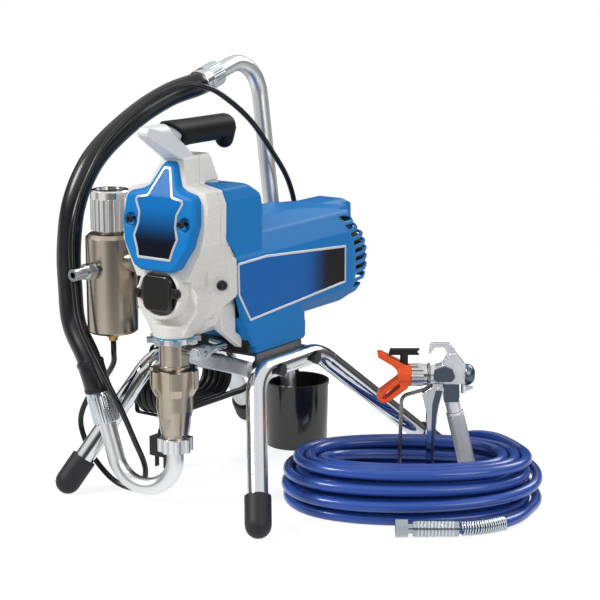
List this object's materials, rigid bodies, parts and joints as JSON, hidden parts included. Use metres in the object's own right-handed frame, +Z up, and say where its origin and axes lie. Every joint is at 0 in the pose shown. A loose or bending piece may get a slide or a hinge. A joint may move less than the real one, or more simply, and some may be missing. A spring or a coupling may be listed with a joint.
{
  "type": "airless paint sprayer",
  "caption": "Electric airless paint sprayer on a tubular stand with piston pump, suction hose and drip cup, with its coiled pressure hose and spray gun.",
  "frame": {"origin": "on the floor, at the centre of the footprint of everything but the free cords", "axes": "+Z up, +Y back along the motor, +X to the side where the pressure hose and gun lie"},
  "size_m": [0.5004, 0.3991, 0.4736],
  "materials": {
    "frame_tube": "bright chromed steel tube",
    "zinc_bar": "zinc plated steel, dull",
    "plate_steel": "grey powder coat",
    "foot_rubber": "black rubber, matte",
    "screw_steel": "black oxide screws",
    "cast_white": "off-white powder coat, fine grain",
    "arm_silver": "silver-white powder coat",
    "grip_rubber": "black moulded rubber",
    "blue_plastic": "satin blue moulded plastic",
    "label": "dark blue to black label",
    "black_plastic": "black moulded plastic",
    "rotor_steel": "laminated steel",
    "stator_steel": "laminated core",
    "gear_steel": "machined steel",
    "pump_nickel": "electroless nickel, warm satin",
    "chrome_bright": "bright chrome",
    "zinc": "bright zinc plate",
    "gasket": "teal seal",
    "tube_alu": "bright drawn aluminium",
    "ferrule": "crimped cuff",
    "hose_rubber": "smooth black hose",
    "drain_plastic": "glossy black tube",
    "brass": "plain brass",
    "filter_mesh": "fine steel mesh",
    "cup_black": "smoky black plastic",
    "strap": "black nylon strap",
    "cord_black": "black flexible cord",
    "line_blue": "glossy blue hose jacket",
    "gun_metal": "polished die cast",
    "gun_grip": "knurled satin sleeve",
    "trigger_chrome": "chromed steel",
    "guard_wire": "bent steel wire",
    "guard_orange": "orange moulded plastic",
    "tip_black": "black plastic handle",
    "nut_steel": "dark plated steel"
  },
  "bodies": {
    "sprayer": {"frame_tube_right": "frame_tube", "frame_tube_left": "frame_tube", "frame_crossbars": "zinc_bar", "mounting_plate": "plate_steel", "rubber_feet": "foot_rubber", "screws_and_bolts": "screw_steel", "drive_housing": "cast_white", "bearing_housing": "cast_white", "handle_arm": "arm_silver", "handle_grip": "grip_rubber", "front_cover": "blue_plastic", "cover_labels": "label", "rod_door": "black_plastic", "motor_shroud": "blue_plastic", "control_housing": "blue_plastic", "motor_stator": "stator_steel", "pump_cylinder": "pump_nickel", "jam_nut": "zinc", "pump_gasket": "gasket", "valve_nut": "pump_nickel", "intake_valve": "pump_nickel", "suction_nut": "tube_alu", "suction_tube": "tube_alu", "hose_ferrules": "ferrule", "suction_hose": "hose_rubber", "suction_cane": "tube_alu", "drain_tube": "drain_plastic", "drain_fitting": "brass", "manifold_body": "pump_nickel", "filter_element": "filter_mesh", "outlet_nipple": "zinc", "pressure_pipe": "zinc", "drip_cup": "cup_black", "tie_straps": "strap", "cord_strain_relief": "grip_rubber", "power_cord": "cord_black", "power_cord_hank": "cord_black", "power_plug": "cord_black", "hose_coil": "line_blue", "hose_outlet_fitting": "zinc", "hose_inlet_fitting": "zinc", "gun_body": "gun_metal", "gun_handle": "gun_grip", "trigger_guard": "guard_wire"},
    "rotor": {"motor_rotor": "rotor_steel", "cooling_fan": "black_plastic"},
    "lay_gear": {"intermediate_gear": "gear_steel"},
    "crank": {"crank_gear": "gear_steel"},
    "pump_rod": {"connecting_rod": "gear_steel", "piston_rod": "chrome_bright"},
    "pressure_dial": {"pressure_knob": "black_plastic"},
    "rocker": {"power_switch": "black_plastic"},
    "prime_lever": {"prime_handle": "black_plastic"},
    "filter_top": {"filter_cap": "chrome_bright"},
    "gun_swivel": {"handle_swivel": "zinc"},
    "gun_trigger": {"trigger": "trigger_chrome"},
    "gun_safety": {"trigger_lock": "gun_metal"},
    "gun_nut": {"guard_nut": "nut_steel"},
    "gun_tip_guard": {"tip_guard": "guard_orange"},
    "gun_tip": {"spray_tip": "tip_black"}
  },
  "joints": [
    {"name": "motor_spin", "type": "hinge", "parent": "sprayer", "child": "rotor", "pos_m": [-0.0513, 0.0604, 0.25], "axis": [0, 1, 0], "continuous": true},
    {"name": "lay_gear_spin", "type": "hinge", "parent": "sprayer", "child": "lay_gear", "pos_m": [-0.02911, -0.1096, 0.27375], "axis": [0, 1, 0], "continuous": true},
    {"name": "crank_spin", "type": "hinge", "parent": "sprayer", "child": "crank", "pos_m": [-0.0513, -0.0996, 0.318], "axis": [0, 1, 0], "continuous": true},
    {"name": "piston_stroke", "type": "slide", "parent": "sprayer", "child": "pump_rod", "axis": [0, 0, 1], "range_m": [-0.014, 0]},
    {"name": "pressure_turn", "type": "hinge", "parent": "sprayer", "child": "pressure_dial", "pos_m": [-0.1133, -0.0396, 0.182], "axis": [-1, 0, 0], "range_deg": [0, 270]},
    {"name": "switch_rock", "type": "hinge", "parent": "sprayer", "child": "rocker", "pos_m": [-0.1133, -0.0016, 0.181], "axis": [0, -1, 0], "range_deg": [0, 20]},
    {"name": "prime_turn", "type": "hinge", "parent": "sprayer", "child": "prime_lever", "pos_m": [-0.1393, -0.0936, 0.214], "axis": [0, 1, 0], "range_deg": [0, 90]},
    {"name": "filter_cap_turn", "type": "hinge", "parent": "sprayer", "child": "filter_top", "pos_m": [-0.1393, -0.1356, 0.32], "axis": [0, 0, 1], "continuous": true},
    {"name": "swivel_turn", "type": "hinge", "parent": "sprayer", "child": "gun_swivel", "pos_m": [0.20267, 0.0678, 0.01561], "axis": [0.2001, 0.136, -0.9703], "continuous": true},
    {"name": "trigger_pull", "type": "hinge", "parent": "sprayer", "child": "gun_trigger", "pos_m": [0.16918, 0.04504, 0.13], "axis": [0.5621, -0.8271, 0], "range_deg": [0, 9], "stiffness_Nm_per_rad": 0.4},
    {"name": "safety_turn", "type": "hinge", "parent": "sprayer", "child": "gun_safety", "pos_m": [0.19267, 0.061, 0.128], "axis": [0, 0, 1], "range_deg": [0, 90]},
    {"name": "guard_nut_turn", "type": "hinge", "parent": "sprayer", "child": "gun_nut", "pos_m": [0.15214, 0.03346, 0.1425], "axis": [0.8271, 0.5621, 0], "continuous": true},
    {"name": "tip_guard_turn", "type": "hinge", "parent": "sprayer", "child": "gun_tip_guard", "pos_m": [0.13891, 0.02447, 0.1425], "axis": [0.8271, 0.5621, 0], "range_deg": [-90, 90]},
    {"name": "spray_tip_turn", "type": "hinge", "parent": "gun_tip_guard", "child": "gun_tip", "pos_m": [0.13858, 0.02424, 0.1425], "axis": [0, 0, 1], "range_deg": [0, 180]}
  ],
  "couplings": [
    {"joint": "lay_gear_spin", "follows": "motor_spin", "ratio": -0.3},
    {"joint": "crank_spin", "follows": "motor_spin", "ratio": 0.066667}
  ]
}
